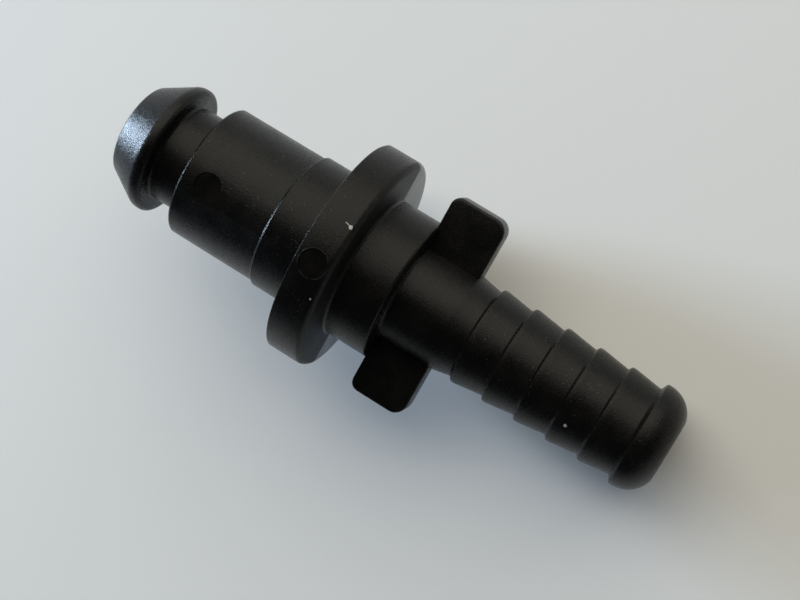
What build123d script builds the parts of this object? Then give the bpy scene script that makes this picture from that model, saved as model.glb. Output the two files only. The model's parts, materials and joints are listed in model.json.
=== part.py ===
# Male plug of a plastic quick disconnect coupling, with a barbed hose tail.
# One injection moulding: coned tip, seal groove, sealing body, flange, collar with two thumb
# wings, shank and barbed tail, with a bore right through it.
# Millimetres. The plug lies on its side as it comes to rest, on the flange's rear edge and
# the bead at the end of the tail, with its wings level. +X runs from tip to tail, +Z is up.
import os
from math import asin, atan2, cos, degrees, hypot, radians, sin, tan

from build123d import *

os.makedirs("parts", exist_ok=True)

# Coned tip that leads the plug into its socket
tip_front_radius = 6.4
tip_rim_radius = 9.35
tip_cone_length = 5.0
tip_land_length = 1.6
tip_front_round = 1.1
tip_rim_round = 1.4
tip_back_round = 0.8

# Groove behind the tip, where a seal ring sits in use
groove_radius = 7.0
groove_width = 4.8

# Sealing body, and the slightly larger step behind it
body_radius = 9.525
body_length = 13.4
step_height = 0.37
step_length = 6.4

# Flange that stops against the socket
flange_radius = 15.5
flange_thickness = 5.7
flange_front_bevel = 0.3
flange_back_round = 0.95

# Collar behind the flange
collar_radius = 10.1
collar_length = 6.5

# Two flat wings, for the thumb and finger, which start just inside the collar
wing_span = 29.4
wing_width = 8.2
wing_lap = 0.5
wing_thickness = 3.6
wing_front_corner = 1.3
wing_back_corner = 1.9
wing_edge_bevel = 0.25

# Shank under the wings, then the cone down to the tail
shank_radius = 7.05
shank_cone_length = 3.0

# Barbed tail for a hose of 12.7 mm bore
barb_count = 5
barb_pitch = 4.8
barb_radius = 6.95
barb_root_radius = 6.4
barb_back_run = 0.3
barb_land = 0.4

# Bead at the end of the tail, rounded off towards the mouth
bead_radius = 7.4
bead_length = 5.0
bead_back_run = 0.5
bead_land = 0.4

# Bore: one core from each end, meeting in a short cone under the collar
nose_wall = 2.0
tail_wall = 2.4
bore_cone_length = 2.0
mouth_flare = 0.4

# Marks of the mould: draft from the parting plane, ejector marks on top, gate at the tip
mould_draft = 1.0
ejector_radius = 1.95
ejector_depth = 0.22
ejector_offset = 4.0
gate_radius = 0.75
gate_height = 1.0
gate_sides = 6
gate_taper = 8

# Small flat under the flange's rear edge, where the plug lies on it and doesn't roll
rest_flat_depth = 0.06

# Places along the axis, measured from the front of the tip
tip_back = tip_cone_length + tip_land_length
body_front = tip_back + groove_width
step_front = body_front + body_length
flange_front = step_front + step_length
flange_back = flange_front + flange_thickness
collar_back = flange_back + collar_length
wing_front = collar_back - wing_lap
wing_back = wing_front + wing_width
barb_front = wing_back + shank_cone_length
bead_front = barb_front + barb_count * barb_pitch
tail_end = bead_front + bead_length

# Radii that follow from others
step_radius = body_radius + step_height
bead_end_round = bead_length - bead_back_run - bead_land
nose_bore_radius = groove_radius - nose_wall
tail_bore_radius = barb_root_radius - tail_wall

# At rest a line under the plug runs through the flat on the round of the flange's rear edge
# and touches the round of the bead. Its slope is the angle at which the plug lies, tail down.
draft_slope = tan(radians(mould_draft))
flange_round_height = flange_radius - flange_back_round
flange_round_place = (
    flange_back - flange_round_height * draft_slope - flange_back_round / cos(radians(mould_draft))
)
flange_rest_height = flange_back_round - rest_flat_depth
bead_round_height = bead_radius - bead_end_round
bead_round_place = tail_end - bead_end_round
run = bead_round_place - flange_round_place
drop = flange_round_height - bead_round_height
lift = bead_end_round - flange_rest_height
rest_tilt = degrees(atan2(drop, run) - asin(lift / hypot(run, drop)))

# Planes through the axis: one upright, one level with the wings. Local x runs along the axis.
axis_direction = Vector(cos(radians(rest_tilt)), 0, -sin(radians(rest_tilt)))
upright = Plane(origin=(0, 0, 0), x_dir=axis_direction, z_dir=(0, -1, 0))
level = Plane(origin=(0, 0, 0), x_dir=axis_direction, z_dir=upright.y_dir)
plug_axis = Axis((0, 0, 0), axis_direction)


def crown(place, radius):
    """Plane that touches the top of a round section, facing up."""
    top = upright.from_local_coords((place, radius, 0))
    return Plane(origin=top, x_dir=axis_direction, z_dir=level.z_dir)


# Flange: a disc whose faces lean by the mould draft, so it is thickest at the parting plane
with BuildPart() as flange:
    lean = flange_radius * draft_slope
    with BuildSketch(upright):
        with BuildLine():
            Polyline(
                (flange_front, 0),
                (flange_front + lean, flange_radius),
                (flange_back - lean, flange_radius),
                (flange_back, 0),
                (flange_back - lean, -flange_radius),
                (flange_front + lean, -flange_radius),
                close=True,
            )
        make_face()
    extrude(amount=flange_radius, both=True)
    with BuildSketch(upright):
        with BuildLine():
            Polyline(
                (flange_front, 0),
                (flange_front, flange_radius),
                (flange_back, flange_radius),
                (flange_back, 0),
                close=True,
            )
        make_face()
    revolve(axis=plug_axis, mode=Mode.INTERSECT)
    rims = flange.edges().filter_by(GeomType.LINE, reverse=True).sort_by(plug_axis)
    fillet(rims[-2:], flange_back_round)
    rims = flange.edges().filter_by(GeomType.LINE, reverse=True).sort_by(plug_axis)
    chamfer(rims[:2], flange_front_bevel)

# Wings: one flat plate through the axis, drafted away from the parting plane
with BuildPart() as wings:
    half_span = wing_span / 2
    with BuildSketch(level):
        with BuildLine():
            FilletPolyline(
                (wing_front, -half_span),
                (wing_back, -half_span),
                (wing_back, half_span),
                (wing_front, half_span),
                radius=(wing_front_corner, wing_back_corner, wing_back_corner, wing_front_corner),
                close=True,
            )
        make_face()
    extrude(amount=wing_thickness / 2, both=True, taper=mould_draft)
    faces_up_and_down = wings.faces().filter_by(level)
    chamfer(faces_up_and_down.edges(), wing_edge_bevel)

# The plug: everything round is one outline, turned about the axis
with BuildPart() as coupling:
    outline = [
        ((0, 0), None),
        ((0, tip_front_radius), tip_front_round),
        ((tip_cone_length, tip_rim_radius), tip_rim_round),
        ((tip_back, tip_rim_radius), tip_back_round),
        ((tip_back, groove_radius), 0),
        ((body_front, groove_radius), 0),
        ((body_front, body_radius), 0),
        ((step_front, body_radius), 0),
        ((step_front, step_radius), 0),
        ((flange_front + flange_thickness / 2, step_radius), 0),
        ((flange_front + flange_thickness / 2, collar_radius), 0),
        ((collar_back, collar_radius), 0),
        ((collar_back, shank_radius), 0),
        ((wing_back, shank_radius), 0),
    ]
    for i in range(barb_count):
        barb_start = barb_front + i * barb_pitch
        outline += [
            ((barb_start, barb_root_radius), 0),
            ((barb_start + barb_back_run, barb_radius), 0),
            ((barb_start + barb_back_run + barb_land, barb_radius), 0),
        ]
    outline += [
        ((bead_front, barb_root_radius), 0),
        ((bead_front + bead_back_run, bead_radius), 0),
        ((tail_end, bead_radius), bead_end_round),
        ((tail_end, 0), None),
    ]
    with BuildSketch(upright):
        with BuildLine():
            FilletPolyline([point for point, _ in outline], radius=[size for _, size in outline[1:-1]])
            Line(outline[-1][0], outline[0][0])
        make_face()
    revolve(axis=plug_axis)
    add(flange.part)
    add(wings.part)

    # Stub of the gate, broken off at the tip's front edge, in the parting plane
    gate_foot = upright.from_local_coords((tip_front_round, 0, tip_front_radius - gate_radius))
    with BuildSketch(Plane(origin=gate_foot, z_dir=-axis_direction)):
        RegularPolygon(gate_radius, gate_sides)
    extrude(amount=tip_front_round + gate_height, taper=gate_taper)

    # Ejector marks, one on the body and one on the flange
    for place, radius in (
        (body_front + ejector_offset, body_radius),
        ((flange_front + flange_back) / 2, flange_radius),
    ):
        with BuildSketch(crown(place, radius)):
            Circle(ejector_radius)
        extrude(amount=-ejector_depth, mode=Mode.SUBTRACT)

    # Flat under the flange's rear edge
    flange_round_centre = upright.from_local_coords((flange_round_place, -flange_round_height, 0))
    with Locations(flange_round_centre - (0, 0, flange_rest_height)):
        Box(
            flange_thickness,
            flange_radius,
            flange_thickness,
            align=(Align.CENTER, Align.CENTER, Align.MAX),
            mode=Mode.SUBTRACT,
        )

    # Bore, flared at its two mouths
    with BuildSketch(upright):
        with BuildLine():
            Polyline(
                (-mouth_flare, 0),
                (-mouth_flare, nose_bore_radius + 2 * mouth_flare),
                (mouth_flare, nose_bore_radius),
                (collar_back, nose_bore_radius),
                (collar_back + bore_cone_length, tail_bore_radius),
                (tail_end - mouth_flare, tail_bore_radius),
                (tail_end + mouth_flare, tail_bore_radius + 2 * mouth_flare),
                (tail_end + mouth_flare, 0),
                close=True,
            )
        make_face()
    revolve(axis=plug_axis, mode=Mode.SUBTRACT)

# Set down on z = 0, with the origin at the middle of the footprint
box = coupling.part.bounding_box()
coupling_body = coupling.part.moved(Location((-box.center().X, -box.center().Y, -box.min.Z)))
coupling_body.label = "coupling_body"
export_step(coupling_body, "parts/coupling_body.step")
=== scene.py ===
import json
from math import pi, radians, tan

import bmesh
import bpy
from mathutils import Euler, Matrix, Vector, noise


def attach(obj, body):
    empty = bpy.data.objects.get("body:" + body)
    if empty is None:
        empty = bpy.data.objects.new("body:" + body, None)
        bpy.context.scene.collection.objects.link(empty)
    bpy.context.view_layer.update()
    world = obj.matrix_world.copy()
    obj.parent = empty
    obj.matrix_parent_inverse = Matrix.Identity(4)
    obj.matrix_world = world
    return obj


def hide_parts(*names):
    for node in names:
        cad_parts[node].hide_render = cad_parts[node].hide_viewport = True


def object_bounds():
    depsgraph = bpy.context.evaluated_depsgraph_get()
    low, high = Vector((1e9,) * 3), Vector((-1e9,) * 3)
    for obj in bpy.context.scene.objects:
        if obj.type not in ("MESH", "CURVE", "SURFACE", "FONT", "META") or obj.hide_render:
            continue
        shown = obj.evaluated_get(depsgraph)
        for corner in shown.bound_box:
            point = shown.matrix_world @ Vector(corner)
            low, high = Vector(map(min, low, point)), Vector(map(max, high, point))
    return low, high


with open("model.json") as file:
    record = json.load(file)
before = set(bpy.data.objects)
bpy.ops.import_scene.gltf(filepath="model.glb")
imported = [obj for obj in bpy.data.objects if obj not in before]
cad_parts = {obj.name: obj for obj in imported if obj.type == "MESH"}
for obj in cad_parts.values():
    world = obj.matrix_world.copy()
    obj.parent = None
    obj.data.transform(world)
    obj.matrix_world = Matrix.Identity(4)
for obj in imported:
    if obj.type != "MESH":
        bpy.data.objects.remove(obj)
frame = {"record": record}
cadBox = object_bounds()
mm = 0.001
# in millimetres, places closer than this count as one
near = 1e-4
print("frame loaded")

# The plug's own axes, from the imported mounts: x from the front of the tip to the tail,
# y across the wings, z away from the parting plane. Sizes in them are in millimetres.
mounts = {mount["name"]: mount for mount in frame["record"]["mounts"]}
noseMiddle = Vector(mounts["nose"]["pos_m"])
alongAxis = (Vector(mounts["tail_bore"]["pos_m"]) - noseMiddle).normalized()
acrossAxis = Vector((0, 1, 0))
aboveAxis = alongAxis.cross(acrossAxis)

# radius of each round in the outline, and the steps in it
rounds = {
    "tipFront": (1.1, 8),
    "tipRim": (1.4, 8),
    "tipBack": (0.8, 8),
    "root": (0.3, 4),
    "bodyChamfer": (0.1, 3),
    "stepRoot": (0.06, 2),
    "stepChamferFoot": (0.08, 3),
    "stepChamfer": (0.1, 3),
    "flangeRoot": (0.25, 4),
    "flangeChamfer": (0.12, 3),
    "flangeBack": (0.95, 10),
    "collarBack": (0.35, 6),
    "shankBack": (2.0, 3),
    "barbRoot": (0.1, 2),
    "barbCrest": (0.3, 5),
    "barbLand": (1.2, 3),
    "beadRoot": (0.12, 2),
    "beadFront": (0.28, 5),
    "beadEnd": (4.05, 18),
}

# chamfers on the three front edges: length along the axis, then depth
chamfers = {"body": (0.3, 0.26), "step": (0.31, 0.27), "flange": (0.36, 0.32)}

# how far along the axis each face that leans by the draft reaches, with the rounds at its edge
leanReach = {"tipBack": 0.85, "flangeFront": 0.35, "flangeBack": 1.0, "collarBack": 0.4}
leanSlack = 0.01

moulding = {
    "tipFrontRadius": 6.4,
    "tipRimRadius": 9.35,
    "tipConeEnd": 5.0,
    "tipBack": 6.6,
    "grooveRadius": 7.0,
    "bodyFront": 11.4,
    "bodyRadius": 9.525,
    "stepFront": 24.8,
    "stepRadius": 9.895,
    "flangeFront": 31.2,
    "flangeBack": 36.9,
    "flangeRadius": 15.5,
    "collarRadius": 10.1,
    "collarBack": 43.4,
    "shankRadius": 7.05,
    "shankTaper": 0.08,
    "shankBack": 51.1,
    "barbFront": 54.1,
    "barbCount": 5,
    "barbPitch": 4.8,
    "barbRootRadius": 6.4,
    "barbRadius": 6.95,
    "barbCrest": 0.36,
    "barbLandEnd": 0.9,
    "beadFront": 78.1,
    "beadCrest": 0.5,
    "beadRadius": 7.4,
    "tailEnd": 83.1,
    "draft": 1.0,
    "turnSteps": 256,
}
tipFront = noseMiddle - alongAxis * (moulding["bodyFront"] + moulding["stepFront"]) / 2 * mm
plugTurn = Matrix((alongAxis, acrossAxis, aboveAxis)).transposed()
plugPlace = Matrix.Translation(tipFront) @ plugTurn.to_4x4() @ Matrix.Scale(mm, 4)
draftSlope = tan(radians(moulding["draft"]))


def makeObject(bm, name):
    mesh = bpy.data.meshes.new(name)
    bm.to_mesh(mesh)
    bm.free()
    piece = bpy.data.objects.new(name, mesh)
    bpy.context.scene.collection.objects.link(piece)
    return piece


def combine(piece, tool, operation):
    # joins the tool to the piece, or cuts it out, and keeps the result as the piece's own mesh
    modifier = piece.modifiers.new(operation.lower(), "BOOLEAN")
    modifier.operation = operation
    modifier.solver = "EXACT"
    modifier.object = tool
    depsgraph = bpy.context.evaluated_depsgraph_get()
    finished = bpy.data.meshes.new_from_object(piece.evaluated_get(depsgraph))
    piece.modifiers.clear()
    piece.data = finished
    bpy.data.objects.remove(tool)


def roundCorner(bm, corner, size, steps):
    bmesh.ops.bevel(
        bm,
        geom=[corner],
        offset=size,
        offset_type="OFFSET",
        segments=steps,
        profile=0.5,
        affect="VERTICES",
        material=-1,
    )


def turnOutline(corners, steps):
    # corners from axis to axis: place along the axis, radius, size of the round, steps in it
    bm = bmesh.new()
    points = [bm.verts.new((along, 0, radius)) for along, radius, _, _ in corners]
    for first, second in zip(points, points[1:]):
        bm.edges.new((first, second))
    for i in range(1, len(corners) - 1):
        last, here, following = (Vector(corner[:2]) for corner in corners[i - 1 : i + 2])
        turned = (here - last).angle(following - here)
        if corners[i][2]:
            roundCorner(bm, points[i], corners[i][2] * tan(turned / 2), corners[i][3])
    bmesh.ops.spin(
        bm,
        geom=bm.verts[:] + bm.edges[:],
        cent=(0, 0, 0),
        axis=(1, 0, 0),
        dvec=(0, 0, 0),
        angle=2 * pi,
        steps=steps,
        use_merge=True,
        use_duplicate=False,
    )
    bmesh.ops.remove_doubles(bm, verts=bm.verts[:], dist=near)
    bmesh.ops.recalc_face_normals(bm, faces=bm.faces[:])
    return bm


def makeMoulding(sizes):
    s = sizes
    corners = [
        (0, 0, 0, 1),
        (0, s["tipFrontRadius"], *rounds["tipFront"]),
        (s["tipConeEnd"], s["tipRimRadius"], *rounds["tipRim"]),
        (s["tipBack"], s["tipRimRadius"], *rounds["tipBack"]),
        (s["tipBack"], s["grooveRadius"], *rounds["root"]),
        (s["bodyFront"], s["grooveRadius"], *rounds["root"]),
        (s["bodyFront"], s["bodyRadius"] - chamfers["body"][1], *rounds["bodyChamfer"]),
        (s["bodyFront"] + chamfers["body"][0], s["bodyRadius"], *rounds["bodyChamfer"]),
        (s["stepFront"], s["bodyRadius"], *rounds["stepRoot"]),
        (s["stepFront"], s["stepRadius"] - chamfers["step"][1], *rounds["stepChamferFoot"]),
        (s["stepFront"] + chamfers["step"][0], s["stepRadius"], *rounds["stepChamfer"]),
        (s["flangeFront"], s["stepRadius"], *rounds["flangeRoot"]),
        (s["flangeFront"], s["flangeRadius"] - chamfers["flange"][1], *rounds["flangeChamfer"]),
        (s["flangeFront"] + chamfers["flange"][0], s["flangeRadius"], *rounds["flangeChamfer"]),
        (s["flangeBack"], s["flangeRadius"], *rounds["flangeBack"]),
        (s["flangeBack"], s["collarRadius"], *rounds["root"]),
        (s["collarBack"], s["collarRadius"], *rounds["collarBack"]),
        (s["collarBack"], s["shankRadius"], *rounds["root"]),
        (s["shankBack"], s["shankRadius"] - s["shankTaper"], *rounds["shankBack"]),
    ]
    for i in range(s["barbCount"]):
        start = s["barbFront"] + i * s["barbPitch"]
        corners += [
            (start, s["barbRootRadius"], *rounds["barbRoot"]),
            (start + s["barbCrest"], s["barbRadius"], *rounds["barbCrest"]),
            (start + s["barbLandEnd"], s["barbRadius"], *rounds["barbLand"]),
        ]
    corners += [
        (s["beadFront"], s["barbRootRadius"], *rounds["beadRoot"]),
        (s["beadFront"] + s["beadCrest"], s["beadRadius"], *rounds["beadFront"]),
        (s["tailEnd"], s["beadRadius"], *rounds["beadEnd"]),
        (s["tailEnd"], 0, 0, 1),
    ]
    bm = turnOutline(corners, s["turnSteps"])
    # faces across the axis lean in from the parting plane, so the flange is thickest there
    leaning = [
        ("tipBack", "grooveRadius", -1),
        ("flangeFront", "stepRadius", 1),
        ("flangeBack", "collarRadius", -1),
        ("collarBack", "shankRadius", -1),
    ]
    for vert in bm.verts:
        radius = Vector(vert.co.yz).length
        for face, inner, way in leaning:
            inwards = way * (vert.co.x - s[face])
            if -leanSlack <= inwards <= leanReach[face] and radius > s[inner] + leanSlack:
                vert.co.x += way * abs(vert.co.z) * draftSlope
                break
    return makeObject(bm, "couplingBody")


body = makeMoulding(moulding)
print("moulding turned,", len(body.data.polygons), "faces")

wings = {
    "span": 29.4,
    "front": 42.9,
    "back": 51.1,
    "thickness": 3.6,
    "frontCorner": 1.3,
    "backCorner": 1.9,
    "edgeRound": 0.35,
    "cornerSteps": 8,
    "edgeSteps": 4,
}


def makeWings(sizes):
    bm = bmesh.new()
    length = sizes["back"] - sizes["front"]
    middle = (sizes["front"] + sizes["back"]) / 2
    bmesh.ops.create_grid(bm, x_segments=1, y_segments=1, size=0.5)
    bmesh.ops.scale(bm, vec=(length, sizes["span"], 1), verts=bm.verts[:])
    bmesh.ops.translate(bm, vec=(middle, 0, 0), verts=bm.verts[:])
    for corner in bm.verts[:]:
        size = sizes["frontCorner"] if corner.co.x < middle else sizes["backCorner"]
        roundCorner(bm, corner, size, sizes["cornerSteps"])
    # one half up and one half down from the parting plane, each leaning in
    half = sizes["thickness"] / 2
    flat = bm.faces[:]
    for way in (1, -1):
        grown = bmesh.ops.extrude_face_region(bm, geom=flat, use_keep_orig=True)["geom"]
        verts = [item for item in grown if isinstance(item, bmesh.types.BMVert)]
        bmesh.ops.translate(bm, vec=(0, 0, way * half), verts=verts)
        shrink = half * draftSlope
        bmesh.ops.translate(bm, vec=(-middle, 0, 0), verts=verts)
        bmesh.ops.scale(
            bm, vec=(1 - 2 * shrink / length, 1 - 2 * shrink / sizes["span"], 1), verts=verts
        )
        bmesh.ops.translate(bm, vec=(middle, 0, 0), verts=verts)
    bmesh.ops.delete(bm, geom=flat, context="FACES_ONLY")
    bmesh.ops.recalc_face_normals(bm, faces=bm.faces[:])
    rims = [e for e in bm.edges if all(abs(abs(v.co.z) - half) < near for v in e.verts)]
    bmesh.ops.bevel(
        bm,
        geom=rims,
        offset=sizes["edgeRound"],
        offset_type="OFFSET",
        segments=sizes["edgeSteps"],
        profile=0.5,
        affect="EDGES",
        material=-1,
    )
    return makeObject(bm, "wingPlate")


combine(body, makeWings(wings), "UNION")
print("wings joined,", len(body.data.polygons), "faces")

# the core runs past both ends of the plug, and its flares widen by as much as they run
bore = {
    "noseRadius": 5.0,
    "tailRadius": 4.0,
    "coneStart": 43.4,
    "coneLength": 2.0,
    "flare": 0.4,
    "past": 1,
    "flareRound": (0.8, 4),
    "coneRound": (0.5, 3),
    "turnSteps": 128,
}


def makeBoreCore(sizes):
    flare, past = sizes["flare"], sizes["past"]
    tailEnd = moulding["tailEnd"]
    coneEnd = sizes["coneStart"] + sizes["coneLength"]
    bm = turnOutline(
        [
            (-past, 0, 0, 1),
            (-past, sizes["noseRadius"] + flare + past, 0, 1),
            (flare, sizes["noseRadius"], *sizes["flareRound"]),
            (sizes["coneStart"], sizes["noseRadius"], *sizes["coneRound"]),
            (coneEnd, sizes["tailRadius"], *sizes["coneRound"]),
            (tailEnd - flare, sizes["tailRadius"], *sizes["flareRound"]),
            (tailEnd + past, sizes["tailRadius"] + flare + past, 0, 1),
            (tailEnd + past, 0, 0, 1),
        ],
        sizes["turnSteps"],
    )
    return makeObject(bm, "boreCore")


combine(body, makeBoreCore(bore), "DIFFERENCE")
print("bore cut,", len(body.data.polygons), "faces")

ejectorMarks = {
    "radius": 1.95,
    "depth": 0.22,
    "onBody": 15.4,
    "onFlange": 34.05,
    "pinLength": 2,
    "pinSteps": 72,
}


def makeEjectorPin(sizes, along, surface):
    bm = bmesh.new()
    length = sizes["pinLength"]
    bmesh.ops.create_cone(
        bm,
        cap_ends=True,
        segments=sizes["pinSteps"],
        radius1=sizes["radius"],
        radius2=sizes["radius"],
        depth=length,
    )
    middle = (along, 0, surface - sizes["depth"] + length / 2)
    bmesh.ops.translate(bm, vec=middle, verts=bm.verts[:])
    return makeObject(bm, "ejectorPin")


markedSurfaces = {"onBody": moulding["bodyRadius"], "onFlange": moulding["flangeRadius"]}
for mark, surface in markedSurfaces.items():
    combine(body, makeEjectorPin(ejectorMarks, ejectorMarks[mark], surface), "DIFFERENCE")
print("ejector marks cut,", len(body.data.polygons), "faces")

flash = {
    "radius": 1.98,
    "breadth": 0.07,
    "height": 0.12,
    "leastHeight": 0.12,
    "sunk": 0.03,
    "patchSize": 0.9,
    "fineShare": 0.35,
    "fineScale": 4,
    "steps": 144,
    "profileSteps": 8,
    "share": {"onBody": 0.1, "onFlange": 0.75},
}


def makeFlash(sizes, along, surface, share):
    # thin torn rim round an ejector mark, which comes and goes on the way round
    bm = bmesh.new()
    profile = bmesh.ops.create_circle(bm, segments=sizes["profileSteps"], radius=1)["verts"]
    bmesh.ops.rotate(bm, cent=(0, 0, 0), matrix=Matrix.Rotation(pi / 2, 3, "X"), verts=profile)
    bmesh.ops.scale(bm, vec=(sizes["breadth"], 1, 1), verts=profile)
    bmesh.ops.translate(bm, vec=(sizes["radius"], 0, 0), verts=profile)
    bmesh.ops.spin(
        bm,
        geom=bm.verts[:] + bm.edges[:],
        cent=(0, 0, 0),
        axis=(0, 0, 1),
        dvec=(0, 0, 0),
        angle=2 * pi,
        steps=sizes["steps"],
        use_merge=True,
        use_duplicate=False,
    )
    bmesh.ops.recalc_face_normals(bm, faces=bm.faces[:])
    for vert in bm.verts:
        spot = Vector((vert.co.x, vert.co.y, surface)) / sizes["patchSize"]
        fine = sizes["fineShare"] * noise.noise(spot * sizes["fineScale"])
        crest = share + noise.noise(spot) + fine
        rise = sizes["height"] * min(max(crest, sizes["leastHeight"]), 1)
        bend = (surface**2 - vert.co.y**2) ** 0.5
        vert.co = (vert.co.x + along, vert.co.y, bend - sizes["sunk"] + rise * vert.co.z)
    return makeObject(bm, "flashRim")


for mark, share in flash["share"].items():
    combine(body, makeFlash(flash, ejectorMarks[mark], markedSurfaces[mark], share), "UNION")
print("flash rims joined,", len(body.data.polygons), "faces")

gateStub = {
    "along": 0.6,
    "across": -5.6,
    "radius": 0.72,
    "halfLength": 1.425,
    "flatness": 0.9,
    "roughness": 0.13,
    "roughnessScale": 2.3,
}


def makeGateStub(sizes):
    # a torn-off stub, uneven at its end
    bm = bmesh.new()
    bmesh.ops.create_icosphere(bm, subdivisions=3, radius=sizes["radius"])
    stretch = (sizes["halfLength"] / sizes["radius"], 1, sizes["flatness"])
    bmesh.ops.scale(bm, vec=stretch, verts=bm.verts[:])
    for vert in bm.verts:
        vert.co *= 1 + sizes["roughness"] * noise.noise(vert.co * sizes["roughnessScale"])
    place = (sizes["along"], sizes["across"], 0)
    bmesh.ops.translate(bm, vec=place, verts=bm.verts[:])
    return makeObject(bm, "gateStub")


combine(body, makeGateStub(gateStub), "UNION")
print("gate stub joined,", len(body.data.polygons), "faces")


edges = {"weld": 2e-4, "partingWidth": 1e-3, "acrossWidth": 0.02, "foldAngle": 32}


def settleEdges(piece, limits):
    # sharp where faces meet at an angle, and along the parting line on the leaning faces
    mesh = piece.data
    bm = bmesh.new()
    bm.from_mesh(mesh)
    bmesh.ops.remove_doubles(bm, verts=bm.verts[:], dist=limits["weld"])
    for face in bm.faces:
        face.smooth = True
    for edge in bm.edges:
        onParting = all(abs(vert.co.z) < limits["partingWidth"] for vert in edge.verts)
        across = abs(edge.verts[0].co.x - edge.verts[1].co.x) < limits["acrossWidth"]
        outside = min(Vector(vert.co.yz).length for vert in edge.verts) > moulding["grooveRadius"]
        folded = edge.calc_face_angle(0) > radians(limits["foldAngle"])
        edge.smooth = not (folded or (onParting and across and outside))
    bm.to_mesh(mesh)
    bm.free()


settleEdges(body, edges)

camera = {
    "place": (0.07527, 0.04178, 0.20726),
    "turn": (0.51, 23.807, 31.661),
    "lens": 72.0,
}
cameraData = bpy.data.cameras.new("viewCamera")
cameraData.lens = camera["lens"]
cameraData.sensor_width = 36
cameraData.clip_start = 0.01
viewCamera = bpy.data.objects.new("viewCamera", cameraData)
viewCamera.location = camera["place"]
viewCamera.rotation_euler = Euler([radians(angle) for angle in camera["turn"]])
bpy.context.scene.collection.objects.link(viewCamera)
bpy.context.scene.camera = viewCamera


class Flow:
    # one socket of a node tree, so that shader sums read as sums
    def __init__(self, tree, socket=None):
        self.tree = tree
        self.socket = socket

    def node(self, kind, settings=None, inputs=None, output=0):
        made = self.tree.nodes.new(kind)
        for name, value in (settings or {}).items():
            setattr(made, name, value)
        for name, value in (inputs or {}).items():
            if isinstance(value, Flow):
                self.tree.links.new(value.socket, made.inputs[name])
            else:
                made.inputs[name].default_value = value
        return Flow(self.tree, made.outputs[output]) if made.outputs else None

    def maths(self, operation, first, second=0.5):
        return self.node("ShaderNodeMath", {"operation": operation}, {0: first, 1: second})

    def __add__(self, other):
        return self.maths("ADD", self, other)

    __radd__ = __add__

    def __sub__(self, other):
        return self.maths("SUBTRACT", self, other)

    def __rsub__(self, other):
        return self.maths("SUBTRACT", other, self)

    def __mul__(self, other):
        return self.maths("MULTIPLY", self, other)

    __rmul__ = __mul__

    def __gt__(self, other):
        return self.maths("GREATER_THAN", self, other)

    def __lt__(self, other):
        return self.maths("LESS_THAN", self, other)

    def blend(self, first, second):
        # self is the share of the second colour
        return self.node(
            "ShaderNodeMix", {"data_type": "RGBA"}, {"Factor": self, 6: first, 7: second}, 2
        )

    def axis(self, name):
        return self.node("ShaderNodeSeparateXYZ", inputs={"Vector": self}, output=name)

    def awayFrom(self, point):
        # distance to a point
        settings = {"operation": "DISTANCE"}
        return self.node("ShaderNodeVectorMath", settings, {0: self, 1: point}, "Value")

    def size(self):
        return self.maths("ABSOLUTE", self)

    def soft(self, low, high):
        # 0 below low, 1 above high
        return self.node(
            "ShaderNodeMapRange",
            {"interpolation_type": "SMOOTHSTEP"},
            {"Value": self, "From Min": low, "From Max": high},
        )


nylon = {
    "colour": (0.0040, 0.0039, 0.0039, 1),
    "colourWorn": (0.0070, 0.0067, 0.0064, 1),
    # painted glints: the light colour of the specks stands in for the sparkle of the glass-filled
    # grain
    "glintSpeckColour": (0.16, 0.17, 0.175, 1),
    "dustColour": (0.55, 0.55, 0.54, 1),
    "refraction": 1.25,
    "specular": 0.66,
    "roughness": 0.27,
    "cloudRoughness": 0.16,
    "grainRoughness": 0.3,
    "dustRoughness": 0.4,
    "grainSize": 0.22,
    "fineGrainSize": 1 / 11,
    "cloudSize": 1 / 0.35,
    "grainDepth": 0.06,
    "coarseShare": 0.6,
    "smoothed": 0.8,
    "speckSpacing": 0.25,
    "speckRadius": 0.24,
    "speckRarity": 0.8,
    "glintSpeckStrength": 0.6,
    "patchSize": 1 / 0.6,
    "patchEdge": (0.42, 0.62),
    "plainFrom": moulding["flangeBack"] - 0.3,
    "plainTo": moulding["shankBack"] + 3,
    "markEdge": 0.03,
    "partingEdge": (0.02, 0.09),
    "partingDepth": 0.5,
    "wornEdge": (0.35, 0.7),
    "rearFrom": moulding["flangeBack"] - 0.75,
    "rearTo": moulding["flangeBack"] + 0.02,
    "rearUpper": 0.16,
    "rearLower": 0.28,
}

# settled dust: the middle and radius of each spot, in the plug's axes
dust = {
    "spots": [
        ((35.8, 6.18, 14.21), 0.27),
        ((35.8, -4.12, 14.94), 0.14),
        ((70.4, -2.73, 6.12), 0.24),
    ],
    "uneven": 0.35,
}
dustTail = {"from": 34.9, "to": 35.8, "across": 6.2, "slope": 0.24, "width": 0.05}


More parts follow.
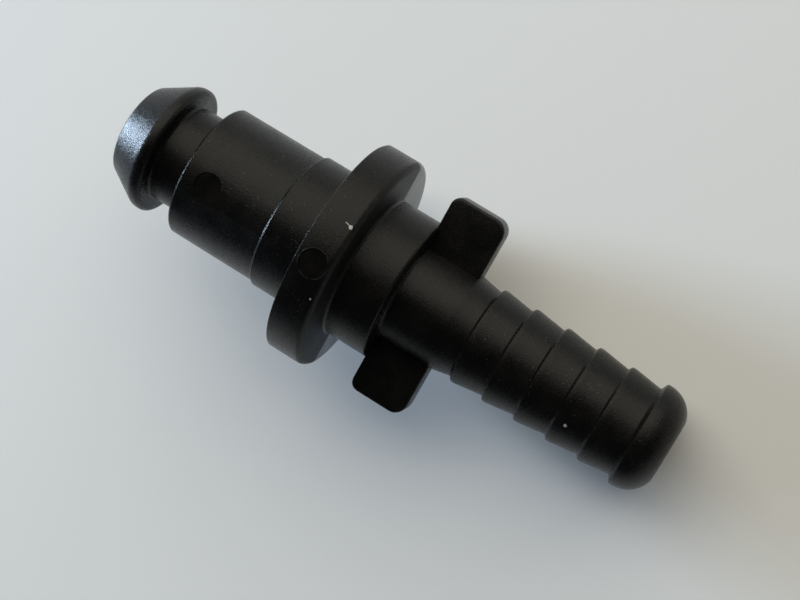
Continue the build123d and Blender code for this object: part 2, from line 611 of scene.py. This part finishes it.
def makeNylon(values):
    material = bpy.data.materials.new("blackGlassFilledNylon")
    material.use_nodes = True
    tree = material.node_tree
    tree.nodes.clear()
    start = Flow(tree)
    onPiece = start.node("ShaderNodeTexCoord", output="Object")
    # turned and scaled to the plug's own axes, in millimetres
    place = start.node(
        "ShaderNodeMapping",
        {"vector_type": "TEXTURE"},
        {
            "Vector": onPiece,
            "Location": tipFront,
            "Rotation": plugTurn.to_euler(),
            "Scale": (mm, mm, mm),
        },
    )
    along = place.axis("X")
    across = place.axis("Y")
    height = place.axis("Z")
    grain = start.node(
        "ShaderNodeTexNoise",
        inputs={"Vector": place, "Scale": 1 / values["grainSize"], "Detail": 3.0, "Roughness": 0.6},
    )
    fineGrain = start.node(
        "ShaderNodeTexNoise",
        inputs={"Vector": place, "Scale": 1 / values["fineGrainSize"], "Detail": 2.0},
    )
    clouds = start.node(
        "ShaderNodeTexNoise",
        inputs={"Vector": place, "Scale": 1 / values["cloudSize"], "Detail": 3.0},
    )
    # bright specks painted into the colour stand in for glints off the short glass fibres at the
    # skin, in patches, but not round the collar
    cells = {"Vector": place, "Scale": 1 / values["speckSpacing"], "Randomness": 1.0}
    speckDistance = start.node("ShaderNodeTexVoronoi", inputs=cells, output="Distance")
    glintSpeckColour = start.node("ShaderNodeTexVoronoi", inputs=cells, output="Color")
    speckChance = start.node("ShaderNodeSeparateColor", inputs={"Color": glintSpeckColour}, output="Red")
    patches = start.node(
        "ShaderNodeTexNoise",
        inputs={"Vector": place, "Scale": 1 / values["patchSize"], "Detail": 2.0},
    )
    glintSpecks = (speckDistance < values["speckRadius"]) * speckChance.soft(values["speckRarity"], 1.0)
    glintSpecks = glintSpecks * patches.soft(*values["patchEdge"])
    onCollar = (along > values["plainFrom"]) * (along < values["plainTo"])
    glintSpecks = glintSpecks * (1 - onCollar)
    # the ejector pins left smooth floors
    flat = start.node("ShaderNodeCombineXYZ", inputs={"X": along, "Y": across})
    insideMark = ejectorMarks["radius"] - values["markEdge"]
    onTop = height > moulding["grooveRadius"]
    marked = sum(
        (flat.awayFrom((ejectorMarks[mark], 0, 0)) < insideMark) * onTop for mark in markedSurfaces
    )
    glintSpecks = glintSpecks * (1 - marked)
    parting = 1 - height.size().soft(*values["partingEdge"])
    tone = clouds.soft(*values["wornEdge"]).blend(values["colour"], values["colourWorn"])
    # painted glints: the specks lighten the base colour in random cells, in place of real glints
    tone = (glintSpecks * values["glintSpeckStrength"]).blend(tone, values["glintSpeckColour"])
    uneven = (grain - 0.5) * dust["uneven"]
    dusty = sum((place.awayFrom(middle) + uneven < size) for middle, size in dust["spots"])
    tailLine = across - dustTail["across"] - (dustTail["to"] - along) * dustTail["slope"]
    tail = (along > dustTail["from"]) * (along < dustTail["to"]) * (height > moulding["bodyRadius"])
    dusty = dusty + tail * (tailLine.size() < dustTail["width"])
    tone = dusty.soft(0, 1).blend(tone, values["dustColour"])
    # the flange's rear face is smoother in the lower half of the mould, duller in the upper
    flangeRear = (along > values["rearFrom"]) * (along < values["rearTo"])
    lowerHalf = height < 0
    roughness = values["roughness"] + (clouds - 0.5) * values["cloudRoughness"]
    roughness = roughness + (grain - 0.5) * values["grainRoughness"]
    roughness = roughness + dusty * values["dustRoughness"]
    roughness = roughness + flangeRear * (values["rearUpper"] - lowerHalf * values["rearLower"])
    smoother = 1 - (flangeRear * lowerHalf + marked) * values["smoothed"]
    coarseShare = values["coarseShare"]
    relief = (grain * coarseShare + fineGrain * (1 - coarseShare)) * smoother
    relief = relief - parting * values["partingDepth"]
    bump = start.node(
        "ShaderNodeBump",
        inputs={"Height": relief, "Strength": 1.0, "Distance": values["grainDepth"] * mm},
    )
    shader = start.node(
        "ShaderNodeBsdfPrincipled",
        inputs={
            "Base Color": tone,
            "Roughness": roughness,
            "Normal": bump,
            "IOR": values["refraction"],
            "Specular IOR Level": values["specular"],
        },
    )
    start.node("ShaderNodeOutputMaterial", inputs={"Surface": shader})
    return material


body.data.materials.clear()
body.data.materials.append(makeNylon(nylon))
body.data.transform(plugPlace)
# the finer mesh reaches a few hundredths of a millimetre past the CAD box, most where the
# resting flat is, so it is brought back to the box
for vert in body.data.vertices:
    vert.co = [min(max(value, low), high) for value, low, high in zip(vert.co, *cadBox)]
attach(body, "root")
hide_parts("coupling_body")
print("coupling finished")

stage = {"size": 1.6, "colour": (0.87, 0.865, 0.855, 1), "roughness": 0.85}


def makeFloor(values):
    bm = bmesh.new()
    bmesh.ops.create_grid(bm, x_segments=1, y_segments=1, size=values["size"] / 2)
    floor = makeObject(bm, "paperFloor")
    material = bpy.data.materials.new("palePaper")
    material.use_nodes = True
    tree = material.node_tree
    tree.nodes.clear()
    start = Flow(tree)
    shader = start.node(
        "ShaderNodeBsdfPrincipled",
        inputs={"Base Color": values["colour"], "Roughness": values["roughness"]},
    )
    start.node("ShaderNodeOutputMaterial", inputs={"Surface": shader})
    floor.data.materials.append(material)


makeFloor(stage)

lamps = {
    "window": {
        "azimuth": 187,
        "height": 9,
        "distance": 0.8,
        "size": (0.2, 0.14),
        "power": 10.5,
        "colour": (0.62, 0.79, 1.0),
    },
    "roomSide": {
        "azimuth": 106,
        "height": 42,
        "distance": 1.2,
        "size": (2.4, 1.5),
        "power": 18.5,
        "colour": (1.0, 0.97, 0.85),
    },
}


def makeLamp(name, values):
    data = bpy.data.lights.new(name, "AREA")
    data.shape = "RECTANGLE"
    data.size, data.size_y = values["size"]
    data.energy = values["power"]
    data.color = values["colour"]
    lamp = bpy.data.objects.new(name, data)
    turn = Euler((0, -radians(values["height"]), radians(values["azimuth"])))
    away = turn.to_matrix() @ Vector((1, 0, 0))
    lamp.location = away * values["distance"]
    lamp.rotation_euler = away.to_track_quat("Z", "Y").to_euler()
    bpy.context.scene.collection.objects.link(lamp)


for name, values in lamps.items():
    makeLamp(name, values)

room = {
    "warmSide": (0.14, 0.13, 0.11, 1),
    "coolSide": (0.045, 0.052, 0.068, 1),
    "overhead": (0.025, 0.025, 0.025, 1),
    "warmAzimuth": 85,
    "sideEdge": (-0.7, 0.7),
    "overheadEdge": (0.55, 0.85),
}


def makeRoom(values):
    world = bpy.data.worlds.new("room")
    bpy.context.scene.world = world
    world.use_nodes = True
    tree = world.node_tree
    tree.nodes.clear()
    start = Flow(tree)
    direction = start.node("ShaderNodeTexCoord", output="Generated")
    rise = direction.axis("Z")
    warmWay = Euler((0, 0, radians(values["warmAzimuth"]))).to_matrix() @ Vector((1, 0, 0))
    facing = start.node(
        "ShaderNodeVectorMath", {"operation": "DOT_PRODUCT"}, {0: direction, 1: warmWay}, "Value"
    )
    sides = facing.soft(*values["sideEdge"]).blend(values["coolSide"], values["warmSide"])
    tone = rise.soft(*values["overheadEdge"]).blend(sides, values["overhead"])
    light = start.node("ShaderNodeBackground", inputs={"Color": tone, "Strength": 1.0})
    start.node("ShaderNodeOutputWorld", inputs={"Surface": light})


makeRoom(room)
bpy.context.scene.view_settings.view_transform = "Standard"
print("stage and lamps set")
